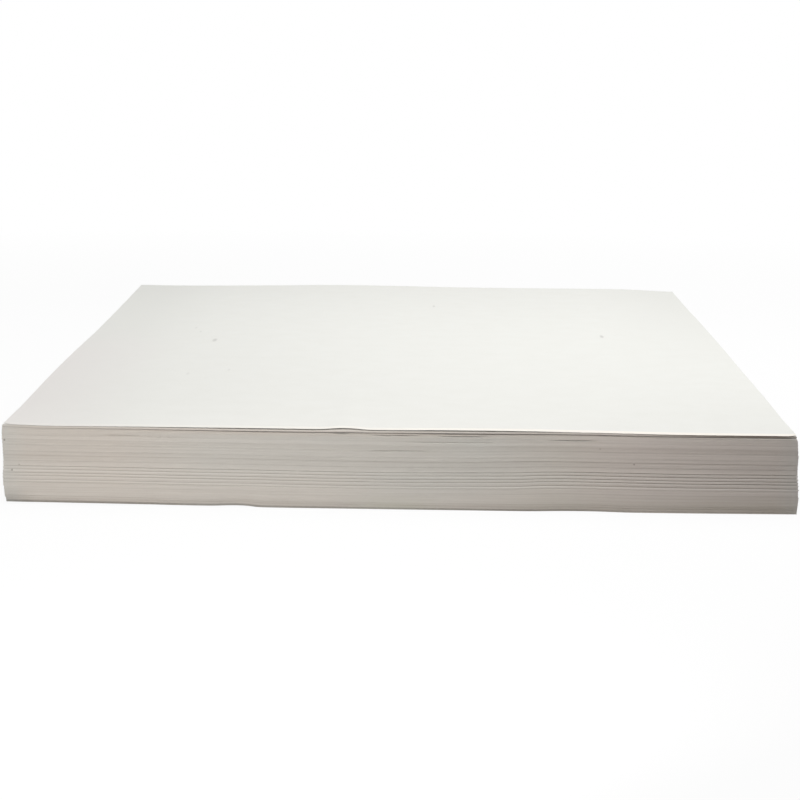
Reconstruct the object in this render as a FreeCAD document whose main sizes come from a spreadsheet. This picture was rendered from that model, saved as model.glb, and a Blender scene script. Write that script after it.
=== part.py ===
import FreeCAD, Part
import math
import os

# A ream of white kraft paper: loose parent sheets, guillotine cut, knocked up into one stack.
#
# Millimetres. The origin is the middle of the stack's underside, where it meets the table.
# X runs to the right along the front edge, Y away from the front, and Z up through the sheets.
#
# Every sheet is a box of its own. The ream was cut and counted out in lifts: the sheets of a
# lift lie tight together and are fused into one solid, and a fine line on the cut edge parts
# each lift from the next. The uppermost sheet lies loose on the last lift, and has a small
# buckle in its front edge.

SIZES = {
    "sheet_width": 609.6,  # along the front
    "sheet_length": 914.4,  # front to back
    "sheet_caliper": 0.122,  # one sheet of 81 grams a square metre
    "sheet_jog": 0.15,  # how far a sheet has slid from the middle of its lift
    "knife_roll": 0.4,  # how far the knife rolls the uppermost sheet of a lift inwards
    "rolled_sheets": 5,  # how many sheets down that roll dies away
    "buckle_right": -43.0,  # the middle of the buckle, along the front edge
    "buckle_width": 44.0,
    "buckle_height": 1.2,
    "buckle_length": 260.0,  # from the front edge back to the point where it lies flat
    "top_sheet_right": 0.1,
    "top_sheet_back": -0.4,
    "top_sheet_skew": -0.13,
}

# From the table upwards: how many sheets a lift holds, how far it lies to the right and to the
# back of the stack's middle, and its turn about Z in degrees.
LIFTS = [
    (12, 0.9, 0.5, 0.02),
    (16, 1.0, 0.3, 0.00),
    (14, 0.8, 0.1, -0.01),
    (58, 0.6, -0.1, 0.01),
    (44, 0.2, 0.0, 0.00),
    (24, -0.1, -0.2, 0.01),
    (19, -0.1, -0.1, -0.01),
    (22, -0.2, -0.2, 0.01),
    (21, -0.2, -0.1, -0.01),
    (36, -0.3, -0.1, 0.01),
    (18, -0.2, 0.1, 0.00),
    (20, -0.4, 0.0, 0.02),
    (71, -0.2, -0.2, -0.01),
    (27, -0.5, 0.1, -0.01),
    (34, -0.6, -0.2, -0.03),
    (21, -0.6, 0.0, -0.05),
    (21, -0.5, -0.1, -0.07),
    (8, -0.4, 0.1, -0.10),
    (13, -0.2, -0.7, -0.13),
]

# Each sheet has slid a golden angle round from the one under it, so no two neighbours line up.
GOLDEN_ANGLE = math.pi * (3 - math.sqrt(5))
BUCKLE_CHORDS = 8  # straight facets across the buckle


def lift_name(index):
    """The name of a lift, counted from the table."""
    return f"lift_{index + 1:02d}"


def write_sizes(doc):
    """Put every driving dimension in the sheet, one row each, with its own alias."""
    rows = dict(SIZES)
    for index, (sheets, right, back, skew) in enumerate(LIFTS):
        name = lift_name(index)
        rows[f"{name}_sheets"] = sheets
        rows[f"{name}_right"] = right
        rows[f"{name}_back"] = back
        rows[f"{name}_skew"] = skew
    table = doc.addObject("Spreadsheet::Sheet", "Sizes")
    for row, (alias, value) in enumerate(rows.items(), start=1):
        table.set(f"A{row}", alias)
        table.set(f"B{row}", str(value))
        table.setAlias(f"B{row}", alias)
    doc.recompute()
    return table


def seat(piece, name, lifts_under):
    """Lay a piece on the lifts under it, slid and turned as its own rows of the table say."""
    counts = " + ".join(f"Sizes.{lift_name(index)}_sheets" for index in range(lifts_under))
    piece.setExpression("Placement.Base.x", f"Sizes.{name}_right")
    piece.setExpression("Placement.Base.y", f"Sizes.{name}_back")
    piece.setExpression("Placement.Base.z", f"({counts or 0}) * Sizes.sheet_caliper")
    piece.setExpression("Placement.Rotation.Angle", f"Sizes.{name}_skew")


def roll_share(depth, rolled_sheets):
    """The share of the knife's roll that reaches a sheet this many sheets down its lift."""
    return max(0.0, 1 - depth / rolled_sheets) ** 2


def add_sheet(doc, name, step, direction, share):
    """One sheet of a lift, slid by the jog in its own direction and drawn in by the roll."""
    paper = doc.addObject("Part::Box", f"{name}_sheet_{step + 1:02d}")
    roll = f"Sizes.knife_roll * {share:.4f}"
    slid_right = f"Sizes.sheet_jog * {math.cos(direction):.4f}"
    slid_back = f"Sizes.sheet_jog * {math.sin(direction):.4f}"
    paper.setExpression("Length", f"Sizes.sheet_width - 2 * {roll}")
    paper.setExpression("Width", f"Sizes.sheet_length - 2 * {roll}")
    paper.setExpression("Height", "Sizes.sheet_caliper")
    paper.setExpression("Placement.Base.x", f"{slid_right} + {roll} - Sizes.sheet_width / 2")
    paper.setExpression("Placement.Base.y", f"{slid_back} + {roll} - Sizes.sheet_length / 2")
    paper.setExpression("Placement.Base.z", f"{step} * Sizes.sheet_caliper")
    return paper


def add_lifts(doc, table):
    """Every lift of the ream, each one solid of its sheets, seated on the lifts under it."""
    lifts = []
    sheets_laid = 0
    for index in range(len(LIFTS)):
        name = lift_name(index)
        sheets = round(table.get(f"{name}_sheets"))
        pile = []
        for step in range(sheets):
            direction = (sheets_laid + step) * GOLDEN_ANGLE
            share = roll_share(sheets - 1 - step, table.get("rolled_sheets"))
            pile.append(add_sheet(doc, name, step, direction, share))
        lift = doc.addObject("Part::MultiFuse", name)
        lift.Label = name
        lift.Shapes = pile
        seat(lift, name, index)
        sheets_laid += sheets
        lifts.append(lift)
    return lifts


def buckled_edge(table):
    """The front edge of the uppermost sheet, left to right, with its buckle as a low wave."""
    front = -table.get("sheet_length") / 2
    half_width = table.get("sheet_width") / 2
    middle = table.get("buckle_right")
    points = [FreeCAD.Vector(-half_width, front, 0)]
    for chord in range(BUCKLE_CHORDS + 1):
        across = chord / BUCKLE_CHORDS
        rise = table.get("buckle_height") * (1 - math.cos(2 * math.pi * across)) / 2
        x = middle + (across - 0.5) * table.get("buckle_width")
        points.append(FreeCAD.Vector(x, front, rise))
    points.append(FreeCAD.Vector(half_width, front, 0))
    return points


def face_of(points):
    """The flat face with these corners."""
    return Part.Face(Part.makePolygon(points + points[:1]))


def buckled_sheet(table):
    """The uppermost sheet: flat, but for a buckle that runs back from its edge to a point."""
    edge = buckled_edge(table)
    back = table.get("sheet_length") / 2
    front = -back
    fade = FreeCAD.Vector(table.get("buckle_right"), front + table.get("buckle_length"), 0)
    back_corners = [FreeCAD.Vector(edge[-1].x, back, 0), FreeCAD.Vector(edge[0].x, back, 0)]
    rim = edge + back_corners
    lift = FreeCAD.Vector(0, 0, table.get("sheet_caliper"))

    underside = [[edge[0], edge[1], fade, edge[-2], edge[-1]] + back_corners]
    for left, right in zip(edge[1:-2], edge[2:-1]):
        underside.append([left, right, fade])
    faces = []
    for corners in underside:
        faces.append(face_of(corners))
        faces.append(face_of([corner + lift for corner in corners]))
    for start, end in zip(rim, rim[1:] + rim[:1]):
        faces.append(face_of([start, end, end + lift, start + lift]))
    return Part.makeSolid(Part.makeShell(faces))


def add_top_sheet(doc, table):
    """The loose uppermost sheet, a little proud of the front edge at the right."""
    top_sheet = doc.addObject("Part::Feature", "top_sheet")
    top_sheet.Label = "top_sheet"
    top_sheet.Shape = buckled_sheet(table)
    seat(top_sheet, "top_sheet", len(LIFTS))
    return top_sheet


def check(doc, pieces):
    """Stop on any object that failed, or any piece without one sound solid."""
    for item in doc.Objects:
        if "Invalid" in item.State or "Error" in item.State:
            raise RuntimeError(f"{item.Label} failed: {item.State}")
    for piece in pieces:
        if piece.Shape.isNull() or not piece.Shape.isValid():
            raise RuntimeError(f"{piece.Label} has no valid shape")
        if len(piece.Shape.Solids) != 1 or piece.Shape.Volume <= 0:
            raise RuntimeError(f"{piece.Label} isn't one closed solid")


def write_parts(pieces):
    """Write each piece to its own file, named by its label."""
    os.makedirs("parts", exist_ok=True)
    for piece in pieces:
        piece.Shape.exportStep(f"parts/{piece.Label}.step")


doc = FreeCAD.newDocument("KraftPaperReam")
table = write_sizes(doc)
pieces = add_lifts(doc, table) + [add_top_sheet(doc, table)]
doc.recompute()
check(doc, pieces)
write_parts(pieces)

stack_height = table.get("sheet_caliper") * (1 + sum(sheets for sheets, *_ in LIFTS))
volume = sum(piece.Shape.Volume for piece in pieces)
print(f"{len(pieces)} pieces, {stack_height:.2f} mm of paper, {volume / 1e6:.3f} litres")
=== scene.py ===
import math
import bpy
from mathutils import Matrix, Vector


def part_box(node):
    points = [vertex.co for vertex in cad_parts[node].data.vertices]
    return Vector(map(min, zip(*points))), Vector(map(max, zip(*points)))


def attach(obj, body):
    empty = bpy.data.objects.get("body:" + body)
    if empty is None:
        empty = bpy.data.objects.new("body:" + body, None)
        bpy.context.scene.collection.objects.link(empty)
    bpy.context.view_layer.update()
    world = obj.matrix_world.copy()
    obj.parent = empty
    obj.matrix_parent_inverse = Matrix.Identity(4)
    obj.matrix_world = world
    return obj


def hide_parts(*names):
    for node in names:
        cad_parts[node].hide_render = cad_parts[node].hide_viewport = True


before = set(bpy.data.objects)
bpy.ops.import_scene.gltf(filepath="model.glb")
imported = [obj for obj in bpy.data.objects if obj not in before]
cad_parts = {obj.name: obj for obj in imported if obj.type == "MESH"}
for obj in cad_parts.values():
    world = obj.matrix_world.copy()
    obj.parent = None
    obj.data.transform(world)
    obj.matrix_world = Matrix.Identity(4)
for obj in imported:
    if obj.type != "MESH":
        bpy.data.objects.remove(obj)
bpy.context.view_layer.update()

# ---------------------------------------------------------------------------------------------
# The lifts. Large sheets of bleached kraft paper, counted off in nineteen lifts. A guillotine
# squared each one and dragged its uppermost sheets inwards, and they were knocked up by hand, so
# that each lies a little off its neighbour.

MM = 0.001
WIDTH = 609.6 * MM
LENGTH = 914.4 * MM
CALIPER = 0.122 * MM
STACK_HEIGHT = 61.0 * MM
SIDE = WIDTH / 2 / MM  # millimetres from the middle to a side
LIFTS = sorted(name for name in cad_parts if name.startswith("lift_"))

# How many steps the points of a sheet's outline make along each of its sides.
FRONT_STEPS = 130
SIDE_STEPS = 54
BACK_STEPS = 62
OUTLINE_STEPS = FRONT_STEPS + 2 * SIDE_STEPS + BACK_STEPS
ON_FRONT = -0.999  # the front side alone is this near to -1, as a share of the half length

# A lift's upper and lower face are rings of points, the outer two close together. The knife
# leaves a burr, so that the rim stands above the upper face.
CAP_RINGS = 8
CAP_RIM = 4 * MM
CAP_BAND = 43 * MM
UPPER_CAP = 0.4  # of a tube that runs from -0.5 to 0.5
BURR = 0.25 * MM

# How far the front edge stands above flat, as (mm from the middle, mm up), and the heights at
# which it does. Air between the sheets and a little curl lift it. Over the fade, back from the
# edge, it falls to the stack's crown.
UNDERSIDE_WAVE = [(-305, 1.9), (-200, 1.2), (-150, 0.8), (-125, 1.4), (-106, 0.1), (-60, 0.0), (90, 0.0),
                  (140, 0.7), (185, 0.0), (305, 0.5)]
BUNDLE_WAVE = [(-305, 2.4), (-245, 2.3), (-170, 1.8), (-110, 1.6), (-60, 1.2), (-15, 1.1), (45, 1.7),
               (90, 2.4), (112, 3.3), (134, 3.5), (165, 3.3), (230, 3.0), (285, 3.3), (305, 3.3)]
MIDDLE_WAVE = [(-305, 1.8), (-245, 1.4), (-170, 1.4), (-15, 0.4), (45, 0.8), (134, 2.4), (165, 2.1),
               (305, 2.1)]
SHOULDER_WAVE = [(-305, 1.35), (-290, 0.9), (-265, 0.45), (-230, 0.6), (-170, 0.3), (-100, 0.0),
                 (-15, 0.3), (45, 0.35), (100, 0.9), (134, 1.15), (165, 0.85), (230, 0.35), (285, 0.45),
                 (305, 0.4)]
WAVES = [(5 * MM, UNDERSIDE_WAVE), (17.5 * MM, BUNDLE_WAVE), (28.1 * MM, BUNDLE_WAVE),
         (37.1 * MM, MIDDLE_WAVE), (59.3 * MM, SHOULDER_WAVE)]
FRONT_FADE = 170 * MM

# The last lift lies loose: the gap under it, and how far its front edge is drawn in, as (mm from
# the middle, mm). The lift under it lies sunk behind its neighbours, and bows forwards a little.
LOOSE_GAP = [(-305, 0.1), (-245, 0.15), (-170, 0.35), (-100, 0.5), (-15, 0.35), (45, 0.65), (100, 0.45),
             (134, 0.3), (165, 0.4), (230, 0.3), (305, 0.35)]
LOOSE_RECESS = [(-305, 0.45), (0, 0.48), (134, 0.6), (165, 0.8), (200, 1.3), (230, 1.8), (305, 2.4)]
SUNK_RECESS = [(-305, -0.13), (-170, -0.05), (-15, -0.15), (45, -0.1), (134, -0.1), (165, -0.1),
               (200, -0.3), (230, -0.35), (305, -0.4)]

# Where the last lift is drawn in by the first of these it begins to lie in shadow, and by the
# second it is fully in it.
OVERHUNG_FROM = 0.8 * MM
OVERHUNG_TO = 2.2 * MM
OVERHUNG_SHADE = 0.7

# The crown: how far the back edge stands above flat, by (mm from the middle, mm up), and the
# middle. Near the two sides it sags, by (mm behind the middle, mm up).
BACK_CROWN = [(-305, 0.8), (-240, 0.45), (-195, 0.7), (-150, 1.1), (-60, 2.6), (30, 2.1), (80, 1.8),
              (165, 2.1), (220, 2.4), (305, 2.2)]
MIDDLE_CROWN = 1.5 * MM
LEFT_SAG = [(-457, -1.5), (-400, -1.5), (-340, -0.5), (-300, -0.1), (-200, 0.4), (-100, 0.0), (0, -1.2),
            (100, -2.3), (200, -2.3), (300, -1.9), (457, -1.3)]
RIGHT_SAG = [(-457, -2.0), (-400, -2.0), (-350, -0.8), (-300, -0.2), (-100, 0.2), (0, 0.7), (100, 0.4),
             (200, -0.1), (300, -1.4), (457, -1.8)]
LEFT_SAG_REACH = 175 * MM
RIGHT_SAG_REACH = 60 * MM

# How far the two sides swell out, by (mm above half the stack's height, mm out).
SWELL = [(-30.5, 0.0), (-28.5, 0.15), (-25.5, 0.75), (-21.5, 1.1), (-17.5, 1.35), (-10.5, 1.25),
         (-5.5, 0.8), (1.5, 0.6), (11.5, 0.85), (19.5, 0.9), (24.5, 0.8), (28.5, 0.3), (30.5, 0.0)]

# A curve's bottom and the height of its range, in the millimetres of the lists above.
WAVE_LOW = -2.0
WAVE_SPAN = 6.0

# Slits where a few sheets part: (mm from the middle, mm up, mm half long, mm deep). They fade
# out over these shares of their half length and of half their mouth.
SLITS = [(0, 45.5, 24, 0.6), (-4, 57.5, 20, 1.0), (48, 57.3, 20, 1.3), (132, 54.5, 20, 1.0),
         (38, 52.4, 36, 0.7), (-213, 54.2, 15, 0.3), (-45, 58.75, 5, 1.0), (0, 15.1, 600, 0.2)]
SLIT_HALF_MOUTH = 0.42 * MM
SLIT_END_FADE = 0.5
SLIT_MOUTH_FADE = 0.6
SLIT_SHADE = 0.7

# The knife's groove is deepest for this share of the sheets that it reaches. The lip under it
# begins and ends at these multiples of them.
GROOVE_FULL = 0.4
LIP_START = 0.5
LIP_END = 2.2

# How fast the bands of sheets drift, from sheet to sheet, and how fast a cut edge wanders across
# a sheet, along it and from sheet to sheet. Backwards, the drift and the jog draw other numbers.
BAND_PACE = 0.31
WANDER_ACROSS = 2.2
WANDER_ALONG = 3.1
WANDER_UP = 0.17
BACK_BANDS = 90
BACK_JOGS = 500

# A small buckle in the front edge, which the uppermost sheets share.
BUCKLE_MIDDLE = -43 * MM
BUCKLE_WIDTH = 44 * MM
BUCKLE_HEIGHT = 1.2 * MM
BUCKLE_LENGTH = 260 * MM
BUCKLE_NARROWEST = 0.15  # of its width, near its point
BUCKLE_SHARED = 0.85  # of its height, in the last lift's uppermost sheet

SHEET_SIZES = {
    "Caliper": CALIPER,
    "Width": WIDTH,
    "Length": LENGTH,
    "Right": 0.0,
    "Back": 0.0,
    "Turn": 0.0,
    "Underside": 0.0,
}
LIFT_SIZES = {
    "Sheets": 21,
    **SHEET_SIZES,
    "Jog": 0.12 * MM,  # how far each sheet has slipped by itself
    "Band Jog": 0.16 * MM,  # how far bands of sheets have drifted together
    "Wander": 0.22 * MM,  # how far a cut edge strays from straight
    "Groove": 0.25 * MM,  # how far the uppermost sheets are drawn in
    "Groove Sheets": 4.0,  # how many sheets down that reaches
    "Groove Shade": 0.2,
    "Lip": 0.0,  # how far the sheets under the groove stand out
    # the painted highlight on those sheets
    "Lip Highlight": 0.0,
    "Side Gape": 0.5,  # the groove's share, which on the front grows to all of it at the right
    "Droop": 0.15,  # how far the rim sinks, as a share of the groove
    "Looseness": 0.0,  # one for the last lift
    "Sinking": 0.0,  # one for the lift under it
    "Seed": 3.0,
}

# The lifts that aren't like the rest, by number from the table, and what is different in them:
# tight bundles and the lowest of them, two cut flush, two that gape, the sunk and the loose one.
UNLIKE_LIFTS = [
    ((5, 6, 7, 8, 9), {"Groove": 0.9 * MM, "Groove Sheets": 6.8, "Groove Shade": 0.6, "Lip": 0.45 * MM,
                       "Lip Highlight": 1.0, "Jog": 0.08 * MM, "Band Jog": 0.08 * MM}),
    ((5,), {"Groove": 0.6 * MM, "Groove Shade": 0.5}),
    ((14, 16), {"Groove": 0.05 * MM, "Groove Shade": 0.0}),
    ((10, 12), {"Groove": 0.7 * MM, "Groove Shade": 0.4}),
    ((18,), {"Sinking": 1.0, "Side Gape": 0.4, "Groove Sheets": 6.0, "Groove Shade": 0.9,
             "Lip Highlight": 0.6}),
    ((19,), {"Looseness": 1.0, "Groove Shade": 0.5, "Lip Highlight": 0.9, "Jog": 0.06 * MM,
             "Band Jog": 0.05 * MM}),
]


class Field:
    """A number or vector on its way through a node tree, written in formulas as a plain number is."""

    def __init__(self, tree, socket=None):
        self.tree = tree
        self.socket = socket

    def node(self, kind, settings=None, values=None, output=0):
        """Adds a node: its settings first, then the value or link of each input."""
        made = self.tree.nodes.new(kind)
        for name, setting in (settings or {}).items():
            if name == "points":
                set_points(made.mapping, setting)
            else:
                setattr(made, name, setting)
        for name, value in (values or {}).items():
            if isinstance(value, Field):
                self.tree.links.new(value.socket, made.inputs[name])
            else:
                made.inputs[name].default_value = value
        return Field(self.tree, made.outputs[output])

    def math(self, operation, *terms):
        return self.node("ShaderNodeMath", {"operation": operation}, dict(enumerate(terms)))

    def __add__(self, other):
        return self.math("ADD", self, other)

    def __sub__(self, other):
        return self.math("SUBTRACT", self, other)

    def __rsub__(self, other):
        return self.math("SUBTRACT", other, self)

    def __mul__(self, other):
        return self.math("MULTIPLY", self, other)

    def __truediv__(self, other):
        return self.math("DIVIDE", self, other)

    def __lt__(self, other):
        return self.math("LESS_THAN", self, other)

    def __gt__(self, other):
        return self.math("GREATER_THAN", self, other)

    def __abs__(self):
        return self.math("ABSOLUTE", self)

    __radd__ = __add__
    __rmul__ = __mul__

    def above(self, floor):
        """This field, or the floor where that is higher."""
        return self.math("MAXIMUM", self, floor)

    def part(self, axis):
        """One coordinate of a vector: X, Y or Z."""
        return self.node("ShaderNodeSeparateXYZ", None, {0: self}, axis)

    def ramp(self, low, high, start=0.0, end=1.0, shape="LINEAR"):
        """Runs from start to end while this field goes from low to high, and stays there beyond."""
        return self.node("ShaderNodeMapRange", {"interpolation_type": shape},
                         {0: self, 1: low, 2: high, 3: start, 4: end})


def set_points(mapping, points):
    """Gives a curve these points, joined smoothly, with no overshoot."""
    curve = mapping.curves[0]
    mapping.use_clip = False
    while len(curve.points) < len(points):
        curve.points.new(0.5, 0.5)
    for knot, place in zip(curve.points, points):
        knot.location = place
        knot.handle_type = "AUTO_CLAMPED"
    mapping.update()


def wave(x, points, half=WIDTH / 2):
    """What a list of points in millimetres gives at x, in metres: it runs from -half to half."""
    shares = [((at * MM + half) / (2 * half), (up - WAVE_LOW) / WAVE_SPAN) for at, up in points]
    across = x.ramp(-half, half)
    height = x.node("ShaderNodeFloatCurve", {"points": shares}, {"Value": across})
    return height * (WAVE_SPAN * MM) + WAVE_LOW * MM


def front_share(y):
    """One at the front edge, falling to nothing where the sheets lie still on each other."""
    return y.ramp(-LENGTH / 2, -LENGTH / 2 + FRONT_FADE, 1.0, 0.0, "SMOOTHSTEP")


def crown(x, y, z):
    """How far the stack stands above flat away from its front edge."""
    towards_back = y.ramp(0, LENGTH / 2, 0.0, 1.0, "SMOOTHSTEP")
    rise = MIDDLE_CROWN + (wave(x, BACK_CROWN) - MIDDLE_CROWN) * towards_back
    near_left = x.ramp(-WIDTH / 2, -WIDTH / 2 + LEFT_SAG_REACH, 1.0, 0.0, "SMOOTHSTEP")
    near_right = x.ramp(WIDTH / 2 - RIGHT_SAG_REACH, WIDTH / 2, 0.0, 1.0, "SMOOTHSTEP")
    sag = wave(y, LEFT_SAG, LENGTH / 2) * near_left + wave(y, RIGHT_SAG, LENGTH / 2) * near_right
    return (rise + sag) * z / STACK_HEIGHT


def sheet_rise(x, y, z):
    """How far a point of a flat stack is lifted by its crown and by the waves of its front edge."""
    rise = wave(x, UNDERSIDE_WAVE)
    for (low, below), (high, above) in zip(WAVES, WAVES[1:]):
        rise = rise + (wave(x, above) - wave(x, below)) * z.ramp(low, high)
    still = crown(x, y, z)
    return still + (rise - still) * front_share(y)


def buckle_rise(x, y):
    """The buckle: a low wave across the front edge that narrows to a point further back."""
    remains = 1 - (y + LENGTH / 2).ramp(0.0, BUCKLE_LENGTH)
    across = (x - BUCKLE_MIDDLE) / (remains.above(BUCKLE_NARROWEST) * BUCKLE_WIDTH)
    cosine = x.math("COSINE", across.ramp(-0.5, 0.5, -math.pi, math.pi))
    return (cosine + 1) / 2 * remains * BUCKLE_HEIGHT


def new_tree(name, sizes):
    """Starts a geometry tree with these inputs, and gives each of them as a field."""
    tree = bpy.data.node_groups.new(name, "GeometryNodeTree")
    tree.interface.new_socket("Geometry", in_out="OUTPUT", socket_type="NodeSocketGeometry")
    for label, value in sizes.items():
        kind = "NodeSocketInt" if isinstance(value, int) else "NodeSocketFloat"
        socket = tree.interface.new_socket(label, in_out="INPUT", socket_type=kind)
        socket.default_value = value
    entry = tree.nodes.new("NodeGroupInput")
    return {label: Field(tree, entry.outputs[label]) for label in sizes}


def finish_tree(body, material):
    """Ends a tree with its material and its one output."""
    tree = body.tree
    solid = body.node("GeometryNodeRealizeInstances", None, {0: body})
    painted = solid.node("GeometryNodeSetMaterial", None, {"Geometry": solid, "Material": material})
    leave = tree.nodes.new("NodeGroupOutput")
    tree.links.new(painted.socket, leave.inputs[0])
    return tree


def keep_attribute(body, name, value):
    """Writes a field on the points of a mesh, for its material to read."""
    return body.node("GeometryNodeStoreNamedAttribute", {"data_type": "FLOAT", "domain": "POINT"},
                     {"Geometry": body, "Name": name, "Value": value})


def vector(x, y, z):
    return x.node("ShaderNodeCombineXYZ", None, {0: x, 1: y, 2: z})


def length(x, y):
    """How long a line is that goes this far one way and that far the other."""
    return x.math("SQRT", x * x + y * y)


def noise(at, scale=1.0, detail=1.0, roughness=0.5, dimensions="3D"):
    """Smooth noise from -1 to 1 at a vector, or along one number."""
    place = "W" if dimensions == "1D" else "Vector"
    value = at.node("ShaderNodeTexNoise", {"noise_dimensions": dimensions},
                    {place: at, "Scale": scale, "Detail": detail, "Roughness": roughness})
    return value * 2 - 1


def jitter(number):
    """A number from -1 to 1 that looks random, the same each time for the same sheet."""
    return number.node("ShaderNodeTexWhiteNoise", {"noise_dimensions": "1D"}, {"W": number}) * 2 - 1


def stray(count, size, bands_from, jogs_from):
    """How far a sheet lies from the middle of its lift: its band has drifted, and it has slipped."""
    drift = noise(count * BAND_PACE + bands_from, dimensions="1D") * size["Band Jog"]
    return drift + jitter(count + jogs_from) * size["Jog"]


def laid(x, y, size):
    """Where a point of a sheet comes to lie when the sheet is turned and moved to its place."""
    flat = vector(x, y, 0.0)
    turned = flat.node("ShaderNodeVectorRotate", {"rotation_type": "Z_AXIS"},
                       {"Vector": flat, "Angle": size["Turn"]})
    return turned.part("X") + size["Right"], turned.part("Y") + size["Back"]


def cut_outline(step):
    """A point of a sheet's outline as shares of its half width and half length, front left first."""
    right = FRONT_STEPS + SIDE_STEPS
    back = right + BACK_STEPS
    across = step.ramp(0, FRONT_STEPS, -1.0, 1.0) - step.ramp(right, back, 0.0, 2.0)
    along = step.ramp(FRONT_STEPS, right, -1.0, 1.0) - step.ramp(back, OUTLINE_STEPS, 0.0, 2.0)
    return across, along


def slit_depth(x, z):
    """How far the front edge is drawn in where a few sheets part, in millimetres."""
    depth = 0
    for middle, height, half_long, deep in SLITS:
        along = 1 - abs(x - middle * MM) / (half_long * MM)
        across = 1 - abs(z - height * MM) / SLIT_HALF_MOUTH
        depth = depth + along.ramp(0.0, SLIT_END_FADE) * across.ramp(0.0, SLIT_MOUTH_FADE) * deep
    return depth


def lift_tree(material):
    """Grows one lift: a tube with a row of points for the lower and upper edge of every sheet."""
    size = new_tree("lift", LIFT_SIZES)
    rows = size["Sheets"] * 2 - 1
    tube = rows.node("GeometryNodeMeshCylinder", {"fill_type": "TRIANGLE_FAN"},
                     {"Vertices": OUTLINE_STEPS, "Side Segments": rows, "Fill Segments": CAP_RINGS,
                      "Radius": 1.0, "Depth": 1.0})
    place = tube.node("GeometryNodeInputPosition")
    x, y, z = place.part("X"), place.part("Y"), place.part("Z")

    # Where a point of the round tube belongs on the sheets: its place on their outline, how far
    # inside it, and which sheet of the lift and of the stack it is on.
    turn = x.math("ARCTAN2", y, x) / math.tau
    across, along = cut_outline(x.math("ROUND", x.math("FRACT", turn) * OUTLINE_STEPS))
    front = along < ON_FRONT
    ring = x.math("ROUND", length(x, y) * CAP_RINGS)
    inner = ring < CAP_RINGS
    inset = inner * CAP_RIM + (CAP_RINGS - 1 - ring).above(0) * CAP_BAND
    spread = ring > 0
    row = x.math("ROUND", (z + 0.5) * rows)
    sheet = x.math("FLOOR", row / 2)
    height = size["Underside"] + (row - sheet) * size["Caliper"]
    count = size["Underside"] / size["Caliper"] + sheet + size["Seed"]

    # What the knife did: the groove over the lift, and the lip under the groove.
    depth = size["Sheets"] - 1 - sheet
    gape = size["Side Gape"] + across.ramp(-1.0, 1.0, 0.0, 1.0 - size["Side Gape"]) * front
    reach = size["Groove Sheets"]
    rolled = depth.ramp(reach * GROOVE_FULL, reach, 1.0, 0.0, "SMOOTHSTEP") * gape
    lip = (depth.ramp(reach * LIP_START, reach, 0.0, 1.0, "SMOOTHSTEP")
           * depth.ramp(reach, reach * LIP_END, 1.0, 0.0, "SMOOTHSTEP")) * gape
    groove = rolled * size["Groove"]
    roll = groove - lip * size["Lip"]

    # What handling did: sheets that have slipped, slits, swollen sides and a loose lift.
    wandered = vector(across * WANDER_ACROSS, along * WANDER_ALONG, count * WANDER_UP)
    outward = noise(wandered) * size["Wander"] - inset - roll
    slit = slit_depth(across * (WIDTH / 2), height) * front
    swell = wave(height - STACK_HEIGHT / 2, SWELL, STACK_HEIGHT / 2)
    flat_x = across * (size["Width"] / 2 + swell + outward) * spread + stray(count, size, 0, 0)
    drawn_in = wave(flat_x, LOOSE_RECESS)
    recess = (drawn_in * size["Looseness"] + wave(flat_x, SUNK_RECESS) * size["Sinking"]) * front
    flat_y = (along * (size["Length"] / 2 + outward - slit * MM - recess) * spread
              + stray(count, size, BACK_BANDS, BACK_JOGS))

    # The lift in its place, over the waves of the stack.
    stack_x, stack_y = laid(flat_x, flat_y, size)
    rise = sheet_rise(stack_x, stack_y, height)
    buckle = buckle_rise(stack_x, stack_y) * (sheet + 1) / size["Sheets"] * BUCKLE_SHARED
    loose = (wave(stack_x, LOOSE_GAP) * front_share(stack_y) + buckle) * size["Looseness"]
    droop = groove * size["Droop"] * (1 - inner)
    burr = inner * (z > UPPER_CAP) * BURR
    lifted = vector(stack_x, stack_y, height + rise + loose - droop - burr)

    # Painted shade for the edge's material: in the groove, in the slits, and on the last lift's edge
    # under the overhang; and a painted highlight on the lip.
    overhung = drawn_in.ramp(OVERHUNG_FROM, OVERHUNG_TO) * front
    groove_shade = rolled * size["Groove Shade"] * (1 - overhung * size["Sinking"])
    shade = groove_shade + slit * SLIT_SHADE + overhung * size["Looseness"] * OVERHUNG_SHADE
    body = keep_attribute(tube, "layer", height)
    body = keep_attribute(body, "shade", shade)
    body = keep_attribute(body, "light", lip * size["Lip Highlight"])
    body = body.node("GeometryNodeSetPosition", None, {"Geometry": body, "Position": lifted})
    body = body.node("GeometryNodeSetShadeSmooth", None, {0: body, 2: False})
    return finish_tree(body, material)


def grown(name, tree, sizes):
    """Runs a tree with these sizes and keeps what it made as a plain mesh."""
    piece = bpy.data.objects.new(name, bpy.data.meshes.new(name))
    bpy.context.scene.collection.objects.link(piece)
    modifier = piece.modifiers.new("tree", "NODES")
    modifier.node_group = tree
    for item in tree.interface.items_tree:
        if item.in_out == "INPUT" and item.name in sizes:
            modifier[item.identifier] = sizes[item.name]
    depsgraph = bpy.context.evaluated_depsgraph_get()
    mesh = bpy.data.meshes.new_from_object(piece.evaluated_get(depsgraph), preserve_all_data_layers=True,
                                           depsgraph=depsgraph)
    piece.modifiers.clear()
    piece.data = mesh
    return piece


CORNER_REACH = 2 * MM  # points of a node this near to a corner count as the corner


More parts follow.
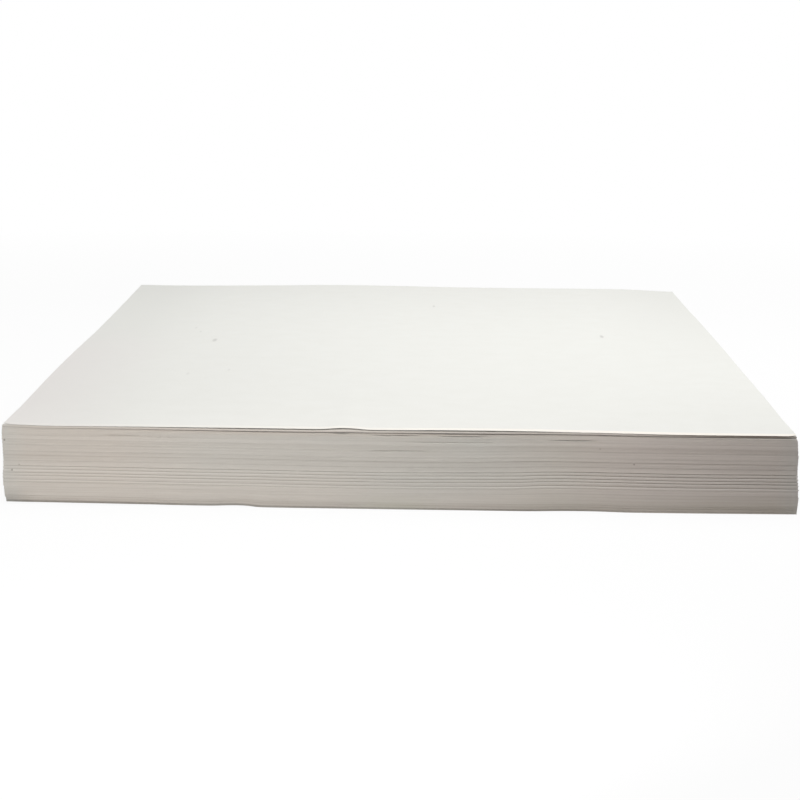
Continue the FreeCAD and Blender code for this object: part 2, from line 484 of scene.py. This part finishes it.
def how_it_lies(node):
    """The sizes that lay sheets where a node's lie, from its underside and its four corners."""
    points = [vertex.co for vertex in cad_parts[node].data.vertices]
    corners = {}
    for side in (-1, 1):
        for end in (-1, 1):
            reach = max(p.x * side + p.y * end for p in points)
            near = [p for p in points if p.x * side + p.y * end > reach - CORNER_REACH]
            corners[side, end] = sum(near, Vector()) / len(near)
    middle = sum(corners.values(), Vector()) / len(corners)
    front = corners[1, -1] - corners[-1, -1]
    return {"Underside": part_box(node)[0].z, "Right": middle.x, "Back": middle.y,
            "Turn": math.atan2(front.y, front.x)}


class Material:
    """A new material: its shader, and a field to start formulas from."""

    def __init__(self, name):
        self.material = bpy.data.materials.new(name)
        self.material.use_nodes = True
        tree = self.material.node_tree
        self.shader = tree.nodes["Principled BSDF"]
        self.start = Field(tree)

    def link(self, socket, field):
        self.start.tree.links.new(field.socket, self.shader.inputs[socket])

    def place(self):
        return self.start.node("ShaderNodeTexCoord", None, None, "Object")

    def attribute(self, name):
        return self.start.node("ShaderNodeAttribute", {"attribute_name": name}, None, "Fac")


def blend(share, first, second):
    """A colour between two: the first where the share is nothing, the second where it is one."""
    return share.node("ShaderNodeMix", {"data_type": "RGBA"}, {0: share, 6: first, 7: second}, 2)


def linear(share):
    """A share of light as a shader takes it, from one on a screen's scale."""
    return ((share + 0.055) / 1.055) ** 2.4 if share > 0.04045 else share / 12.92


def rgb(red, green, blue):
    """A colour as a shader takes it, from its three shares on a screen's scale."""
    return linear(red), linear(green), linear(blue), 1.0


def zone(x, y, over_x, over_y):
    """A part of a surface: a ramp over x times one over y, as (mm, mm, share before, share beyond)."""
    x_low, x_high, *x_shares = over_x
    y_low, y_high, *y_shares = over_y
    return x.ramp(x_low * MM, x_high * MM, *x_shares) * y.ramp(y_low * MM, y_high * MM, *y_shares)


def mark(distance, radius, core, dark):
    """A small mark: as dark as given out to this share of its radius, fading to its rim."""
    return distance.ramp(radius * core, radius, dark, 0.0)


EDGE_PALE = rgb(0.928, 0.902, 0.870)
EDGE_DEEP = rgb(0.800, 0.766, 0.728)
# The painted highlight on the lips under the grooves.
EDGE_LIP_HIGHLIGHT = rgb(0.975, 0.955, 0.925)
EDGE_SHADED = rgb(0.500, 0.435, 0.380)
EDGE_OLIVE = rgb(0.640, 0.620, 0.520)
EDGE_COOL = rgb(0.835, 0.845, 0.83)
EDGE_GREEN = rgb(0.820, 0.830, 0.740)
EDGE_MAUVE = rgb(0.910, 0.835, 0.835)
# The painted shade at the foot, where the edge meets the table.
EDGE_FOOT_SHADE = rgb(0.50, 0.475, 0.44)
# The colour of the small dark spots, one of them painted shade in a notch.
EDGE_SPOT = rgb(0.50, 0.45, 0.40)
FACE_PALE = rgb(0.945, 0.943, 0.925)
FACE_UP = (0.75, 0.95)  # how far up a face looks, where this paler tone begins and is whole

# The edge's tone from pale, 0, to deep, 1, and how far each grain of the paper changes it.
EDGE_TONE = 0.42
FINE_TONE = 0.25
STREAK_TONE = 0.30
BAND_TONE = 0.06
FUZZ_TONE = 0.08

# Zones along the edge and up it, as zone() takes them: where it is deeper, where paler, and
# where it has a tint. The first deeper zone is painted shade near the table, at the left and in
# the middle. The paler zones are painted light, which eases the shade at the foot on the right and
# under the overhang at the top right. The olive tint low on the right is also partly painted
# shade near the table.
ALL_ALONG = (0, 1, 1.0, 1.0)
ALL_UP = (0, 1, 1.0, 1.0)
DEEPER_ZONES = [((100, 200, 1.0, 0.0), (0, 8, 0.4, 0.0)), (ALL_ALONG, (30, 38, -0.04, 0.12))]
PALER_ZONES = [((130, 220, 0.0, 1.0), (0, 4.5, 0.6, 0.0)), ((60, 165, 0.0, 1.0), (51, 55, 0.0, 0.4))]
TINTED_ZONES = [(EDGE_OLIVE, (60, 240, 0.0, 1.0), (4, 14, 0.4, 0.0)),
                (EDGE_MAUVE, (120, 180, 0.0, 0.16), ALL_UP)]
GREEN_MIDDLE = -5 * MM
GREEN_ZONE = ((10, 40, 0.3, 0.0), (2, 12, 1.0, 0.0))  # along the edge from its own middle
COOL_START = ((-220, -150, 0.0, 1.0), (10, 35, 0.1, 0.32))
COOL_END = ((60, 150, 1.0, 0.0), (55.5, 58, 1.0, 0.0))
COOL_ENDS = ((288, 304, 0.0, 0.3), ALL_UP)  # along the edge both ways from the middle
COOL_CLOUD = 0.3

# Paler bands of sheets, which show towards the right: (mm up, mm up, how pale).
PALE_BANDS = [(18, 26, 0.2), (34, 39, 0.15)]
BAND_BLUR = 1  # mm to either side of its limits
BAND_RIGHT = 250 * MM

# The dark foot of the edge, painted shade where it meets the table: how high it reaches at the left and
# at the right, and its zones.
FOOT_LEFT = 2.4 * MM
FOOT_RIGHT = 0.9 * MM
FOOT_ZONE = ((140, 190, 0.9, 0.15), ALL_UP)
FOOT_CORNER = ((-SIDE, -280.4, 0.4, 0.0), (3, 12, 1.0, 0.0))

# Small dark spots on the front edge, the one at the left end painted shade in a notch: (mm from
# the middle, mm up, mm radius, how dark).
SPOTS = [(-299.0, 26.9, 0.9, 0.8), (-293.5, 31.2, 0.7, 0.6), (-304.6, 50.2, 1.0, 0.75),
         (179.5, 38.0, 0.8, 0.75), (153.0, 49.6, 0.7, 0.6)]
SPOT_CORE = 0.3
SPOTTED_TO = -448 * MM  # the specks don't reach behind this

EDGE_ROUGHNESS = 0.78
FUZZ_ROUGHNESS = 0.06
STREAK_ROUGHNESS = 0.05
EDGE_GLOSS = 0.25


def grain(x, y, layer, along, up, detail=1.0, roughness=0.5):
    """Noise drawn out along a cut edge: so many grains a metre along it, and so many up it."""
    return noise(vector(x * along, y * along, layer * up), 1.0, detail, roughness)


def cut_edge_material():
    """The guillotined edge: hundreds of sheet edges, a shade warmer and duller than the faces."""
    paper = Material("cut_edge")
    place = paper.place()
    x, y, z = place.part("X"), place.part("Y"), place.part("Z")
    layer = paper.attribute("layer")

    fine = grain(x, y, layer, along=9, up=2600, detail=2.0)
    streaks = grain(x, y, layer, along=6, up=1100, detail=2.0, roughness=0.8)
    bands = grain(x, y, layer, along=1.5, up=260)
    cloud = grain(x, y, layer, along=7, up=30)
    fuzz = noise(place, scale=1400, detail=2.0, roughness=0.7)

    tone = EDGE_TONE + fine * FINE_TONE + streaks * STREAK_TONE + bands * BAND_TONE + fuzz * FUZZ_TONE
    for along, up in DEEPER_ZONES:
        tone = tone + zone(x, layer, along, up)
    for along, up in PALER_ZONES:
        tone = tone - zone(x, layer, along, up)
    for low, high, pale in PALE_BANDS:
        rises = layer.ramp((low - BAND_BLUR) * MM, (low + BAND_BLUR) * MM)
        falls = layer.ramp((high - BAND_BLUR) * MM, (high + BAND_BLUR) * MM, pale, 0.0)
        tone = tone - rises * falls * x.ramp(0, BAND_RIGHT)
    colour = blend(tone, EDGE_PALE, EDGE_DEEP)
    # A painted highlight on the lips, which catch the light from above.
    colour = blend(paper.attribute("light"), colour, EDGE_LIP_HIGHLIGHT)

    for tint, along, up in TINTED_ZONES:
        colour = blend(zone(x, layer, along, up), colour, tint)
    colour = blend(zone(abs(x - GREEN_MIDDLE), layer, *GREEN_ZONE), colour, EDGE_GREEN)
    colour = blend(paper.attribute("shade"), colour, EDGE_SHADED)
    # Painted shade at the foot, where the edge meets the table, and low in the left corner.
    foot_height = x.ramp(-WIDTH / 2, WIDTH / 2, FOOT_LEFT, FOOT_RIGHT)
    foot = (layer / foot_height).ramp(0.0, 1.0, 1.0, 0.0) * zone(x, layer, *FOOT_ZONE)
    colour = blend(foot + zone(x, layer, *FOOT_CORNER), colour, EDGE_FOOT_SHADE)
    cool = zone(x, layer, *COOL_START) * zone(x, layer, *COOL_END) + zone(abs(x), layer, *COOL_ENDS)
    colour = blend(cool + cloud.ramp(0.0, 1.0, 0.0, COOL_CLOUD), colour, EDGE_COOL)

    for right, height, radius, dark in SPOTS:
        away = length(x - right * MM, z - height * MM)
        spot = mark(away, radius * MM, SPOT_CORE, dark) * (y < SPOTTED_TO)
        colour = blend(spot, colour, EDGE_SPOT)
    upward = x.node("ShaderNodeNewGeometry", None, None, "Normal").part("Z")
    colour = blend(upward.ramp(*FACE_UP), colour, FACE_PALE)

    paper.link("Base Color", colour)
    paper.link("Roughness", EDGE_ROUGHNESS + fuzz * FUZZ_ROUGHNESS + streaks * STREAK_ROUGHNESS)
    relief = (fine + fuzz) / 2
    bump = x.node("ShaderNodeBump", None, {"Strength": 0.25, "Distance": 0.05 * MM, "Height": relief})
    paper.link("Normal", bump)
    paper.shader.inputs["Specular IOR Level"].default_value = EDGE_GLOSS
    return paper.material


LIFT_TREE = lift_tree(cut_edge_material())
for number, lift in enumerate(LIFTS, start=1):
    low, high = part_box(lift)
    sizes = how_it_lies(lift)
    sizes["Sheets"] = round((high.z - low.z) / CALIPER)
    for numbers, differences in UNLIKE_LIFTS:
        if number in numbers:
            sizes.update(differences)
    piece = grown(f"{lift}_sheets", LIFT_TREE, sizes)
    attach(piece, "root")
    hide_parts(lift)

# ---------------------------------------------------------------------------------------------
# The uppermost sheet. One loose sheet of the same paper, its smoother side up. It covers the
# last lift, stands proud of it at the front, and has a small buckle in its front edge.

TOP_STEPS_ACROSS = 240
TOP_STEPS_ALONG = 120
CROWDING_ACROSS = 0.6
CROWDING_ALONG = 0.8
BLUNT_CORNER = 9 * MM
SHARP_ANGLE = math.radians(40)

# The gap under its front edge, as (mm from the middle, mm), over the last lift's own.
TOP_GAP = [(-305, 0.1), (-245, 0.05), (-170, 0.4), (-100, 0.7), (-15, 0.5), (45, 0.75), (100, 0.5),
           (134, 0.1), (165, 0.05), (305, 0.2)]

# Cockle: how high the sheet's own faint waves are, and how many there are in a metre.
COCKLE = 0.10 * MM
COCKLE_ACROSS = 5
COCKLE_ALONG = 4

FACE_WHITE = rgb(0.935, 0.936, 0.918)
FACE_SHADE = rgb(0.912, 0.911, 0.888)
# The colour of the painted shade on the face.
FACE_PAINTED_SHADE = rgb(0.910, 0.910, 0.890)
FACE_BLUSH = rgb(0.920, 0.905, 0.893)
# The painted cream highlight along the front edge.
RIM_HIGHLIGHT_COLOUR = rgb(1.0, 0.978, 0.942)
FLECK = rgb(0.60, 0.59, 0.57)

# The face's tone from white, 0, to shade, 1, and how far its cloud and its fibres change it.
FACE_TONE = 0.40
CLOUD_TONE = 0.35
FIBRE_TONE = 0.45

# Zones over the sheet, as zone() takes them: across it, then along it or back from its front.
# The sides and the left take painted shade and the right front painted light; the rim zone is a
# painted cream highlight along the front edge.
SHADED_SIDES = ((200, SIDE, 0.0, 1.0), (-150, 150, 0.0, 1.0))
SHADED_LEFT = ((-SIDE, -200, 0.5, 0.0), ALL_ALONG)
LIT_RIGHT_FRONT = ((50, 200, 0.0, 0.5), (-350, -150, 1.0, 0.0))
BLUSH_LEFT = ((-SIDE, -210, 0.8, 0.0), (-100, 120, 1.0, 0.0))
RIM_HIGHLIGHT_ZONE = ((-SIDE, 182.9, 0.1, 1.0), (6.5, 11.5, 1.0, 0.0))

# Flecks of dirt in the pulp: (mm from the middle, mm behind it, mm radius, how dark). They are
# slivers that lie along the sheet, this many times as long as wide.
FLECKS = [(-274, 362, 1.8, 0.45), (-254, 276, 1.3, 0.20), (31, 283, 1.9, 0.24), (-208, 100, 1.5, 0.18),
          (-201, 72, 1.5, 0.15), (195, 70, 2.4, 0.36), (-182, 11, 2.8, 0.33), (-154, -174, 1.6, 0.12),
          (-188, -199, 1.8, 0.13)]
FLECK_LENGTH = 5.0
FLECK_CORE = 0.35
FLECK_RAGGED = 0.25 * MM

# How many fibres there are in a metre, across the sheet and along it.
FIBRES_ACROSS = 900
FIBRES_ALONG = 420
FACE_ROUGHNESS = 0.62
FIBRE_ROUGHNESS = 0.08
CLOUD_ROUGHNESS = 0.03
FACE_GLOSS = 0.35


def crowded(share, crowding):
    """Moves evenly spaced steps towards both ends, where the sheet's rim needs them."""
    return share - share.math("SINE", share * math.tau) * (crowding / math.tau)


def blunted(here, other):
    """How far a corner worn round draws a point in one way, as a square is drawn in to a circle."""
    here = here.above(0)
    other = other.above(0)
    return here * (1 - here.math("SQRT", 1 - other * other / 2)) * BLUNT_CORNER


def top_tree(material):
    """Grows the uppermost sheet: a block one sheet thick, laid over the waves of the stack."""
    size = new_tree("top_sheet", SHEET_SIZES)
    block = size["Width"].node("GeometryNodeMeshCube", None,
                               {"Vertices X": TOP_STEPS_ACROSS, "Vertices Y": TOP_STEPS_ALONG,
                                "Vertices Z": 2, "Size": (1.0, 1.0, 1.0)})
    place = block.node("GeometryNodeInputPosition")
    across = crowded(place.part("X") + 0.5, CROWDING_ACROSS) - 0.5
    along = crowded(place.part("Y") + 0.5, CROWDING_ALONG) - 0.5
    upper = place.part("Z") > 0

    from_edge = (along + 0.5) * size["Length"]
    from_side = (0.5 - abs(across)) * size["Width"]
    near_edge = 1 - from_edge / BLUNT_CORNER
    near_side = 1 - from_side / BLUNT_CORNER
    flat_x = across * size["Width"] - across.math("SIGN", across) * blunted(near_side, near_edge)
    flat_y = along * size["Length"] + blunted(near_edge, near_side)
    x, y = laid(flat_x, flat_y, size)
    height = size["Underside"] + upper * size["Caliper"]
    rise = sheet_rise(x, y, height) + (wave(x, LOOSE_GAP) + wave(x, TOP_GAP)) * front_share(y)
    cockle = noise(vector(x * COCKLE_ACROSS, y * COCKLE_ALONG, 0.0))
    lifted = vector(x, y, height + rise + buckle_rise(x, y) + (cockle + 1) * COCKLE)

    body = keep_attribute(block, "from_front", from_edge)
    body = body.node("GeometryNodeSetPosition", None, {"Geometry": body, "Position": lifted})
    sharp = body.node("GeometryNodeInputMeshEdgeAngle") > SHARP_ANGLE
    body = body.node("GeometryNodeSetShadeSmooth", {"domain": "FACE"}, {0: body, 2: True})
    body = body.node("GeometryNodeSetShadeSmooth", {"domain": "EDGE"}, {0: body, 1: sharp, 2: False})
    return finish_tree(body, material)


def sheet_face_material():
    """The sheet's own face: calendered bleached kraft, near white, with faint cloud and a few flecks."""
    paper = Material("sheet_face")
    place = paper.place()
    x, y = place.part("X"), place.part("Y")
    from_front = paper.attribute("from_front")
    cloud = noise(place, scale=45, detail=3.0, roughness=0.6)
    fibre = noise(vector(x * FIBRES_ACROSS, y * FIBRES_ALONG, 0.0), detail=3.0, roughness=0.7)
    colour = blend(FACE_TONE + cloud * CLOUD_TONE + fibre * FIBRE_TONE, FACE_WHITE, FACE_SHADE)
    for right, back, radius, dark in FLECKS:
        away = length(x - right * MM, (y - back * MM) / FLECK_LENGTH) + fibre * FLECK_RAGGED
        colour = blend(mark(away, radius * MM, FLECK_CORE, dark), colour, FLECK)

    # Painted shade on the sides and at the left of the face, and painted light at its right front.
    painted_shade = zone(abs(x), y, *SHADED_SIDES) + zone(x, y, *SHADED_LEFT) - zone(x, y, *LIT_RIGHT_FRONT)
    colour = blend(painted_shade, colour, FACE_PAINTED_SHADE)
    colour = blend(zone(x, y, *BLUSH_LEFT), colour, FACE_BLUSH)
    # A painted cream highlight along the sheet's front edge.
    colour = blend(zone(x, from_front, *RIM_HIGHLIGHT_ZONE), colour, RIM_HIGHLIGHT_COLOUR)

    paper.link("Base Color", colour)
    paper.link("Roughness", FACE_ROUGHNESS + fibre * FIBRE_ROUGHNESS + cloud * CLOUD_ROUGHNESS)
    bump = x.node("ShaderNodeBump", None, {"Strength": 0.2, "Distance": 0.03 * MM, "Height": fibre})
    paper.link("Normal", bump)
    paper.shader.inputs["Specular IOR Level"].default_value = FACE_GLOSS
    return paper.material


top = grown("top_sheet_buckled", top_tree(sheet_face_material()), how_it_lies("top_sheet"))
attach(top, "root")
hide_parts("top_sheet")

# ---------------------------------------------------------------------------------------------
# The studio: a white table that runs out of sight, a broad lamp overhead towards the right, a
# smaller one low at the front left, and a pale room that fills in the rest.

TABLE_HALF = 15.0
TABLE_CLEARANCE = 0.05 * MM
WHITE = (1.0, 1.0, 1.0, 1.0)
TABLE_GREY = (0.30, 0.30, 0.30, 1.0)
TABLE_SEEN = 0.94  # the share of plain white that the camera sees near the stack
TABLE_FADE = (0.9, 1.8)  # metres out, where it begins to grow and where it is all
ROOM_LIGHT = 0.20


def seen_directly(start):
    """One for rays from the camera, or by way of gloss or glass; nothing for light that falls."""
    kinds = ["Is Camera Ray", "Is Glossy Ray", "Is Transmission Ray"]
    rays = [start.node("ShaderNodeLightPath", None, None, kind) for kind in kinds]
    return rays[0].above(rays[1]).above(rays[2])


def table_material():
    """A matt table that the camera sees white, with the stack's shadow faint on it."""
    table = Material("table")
    tree = table.start.tree
    seen = seen_directly(table.start)
    table.link("Base Color", blend(seen, TABLE_GREY, WHITE))
    table.shader.inputs["Roughness"].default_value = 1.0
    table.shader.inputs["Specular IOR Level"].default_value = 0.0
    glow = seen.node("ShaderNodeEmission", None, {"Color": WHITE, "Strength": 1.0})
    face = Field(tree, table.shader.outputs[0])
    place = table.place()
    away = length(place.part("X"), place.part("Y"))
    whiteness = seen * away.ramp(*TABLE_FADE, TABLE_SEEN, 1.0)
    mixed = seen.node("ShaderNodeMixShader", None, {0: whiteness, 1: face, 2: glow})
    tree.links.new(mixed.socket, tree.nodes["Material Output"].inputs["Surface"])
    return table.material


corners = [(-TABLE_HALF, -TABLE_HALF), (TABLE_HALF, -TABLE_HALF), (TABLE_HALF, TABLE_HALF),
           (-TABLE_HALF, TABLE_HALF)]
mesh = bpy.data.meshes.new("table")
mesh.from_pydata([(x, y, -TABLE_CLEARANCE) for x, y in corners], [], [(0, 1, 2, 3)])
mesh.materials.append(table_material())
table = bpy.data.objects.new("table", mesh)
bpy.context.scene.collection.objects.link(table)

world = bpy.data.worlds.new("room")
world.use_nodes = True
bpy.context.scene.world = world
room = Field(world.node_tree)
seen = seen_directly(room)
dim = room.node("ShaderNodeBackground", None, {"Color": WHITE, "Strength": ROOM_LIGHT})
bright = room.node("ShaderNodeBackground", None, {"Color": WHITE, "Strength": 1.0})
mixed = room.node("ShaderNodeMixShader", None, {0: seen, 1: dim, 2: bright})
world.node_tree.links.new(mixed.socket, world.node_tree.nodes["World Output"].inputs["Surface"])


def add_lamp(name, place, aim, size, power, colour):
    """A square soft lamp at a place, turned towards a point."""
    lamp = bpy.data.lights.new(name, "AREA")
    lamp.size = size
    lamp.energy = power
    lamp.color = colour
    holder = bpy.data.objects.new(name, lamp)
    holder.location = place
    holder.rotation_euler = (Vector(aim) - Vector(place)).to_track_quat("-Z", "Y").to_euler()
    holder.visible_camera = False
    bpy.context.scene.collection.objects.link(holder)


add_lamp("overhead", place=(0.389, 0.143, 1.2), aim=(0.8, 0.437, 0.06), size=1.68, power=17.4,
         colour=(1.0, 1.0, 1.0))
add_lamp("front_left", place=(-0.1, -1.221, 0.45), aim=(-1.149, -0.457, 0.03), size=0.70, power=6.4,
         colour=(1.0, 0.985, 0.975))

# ---------------------------------------------------------------------------------------------
# The camera: in front of the stack and a little above it, turned slightly, with a long lens and
# no shift.

CAMERA_PLACE = (0.0061, -2.2397, 0.3878)
CAMERA_YAW = -0.23
CAMERA_PITCH = 9.62
CAMERA_ROLL = 0.78
CAMERA_LENS = 106.3

lens = bpy.data.cameras.new("camera")
lens.lens = CAMERA_LENS
camera = bpy.data.objects.new("camera", lens)
camera.matrix_world = (Matrix.Translation(CAMERA_PLACE)
                       @ Matrix.Rotation(math.radians(-CAMERA_YAW), 4, "Z")
                       @ Matrix.Rotation(math.radians(90 - CAMERA_PITCH), 4, "X")
                       @ Matrix.Rotation(math.radians(CAMERA_ROLL), 4, "Z"))
bpy.context.scene.collection.objects.link(camera)
bpy.context.scene.camera = camera
bpy.context.scene.view_settings.view_transform = "Standard"
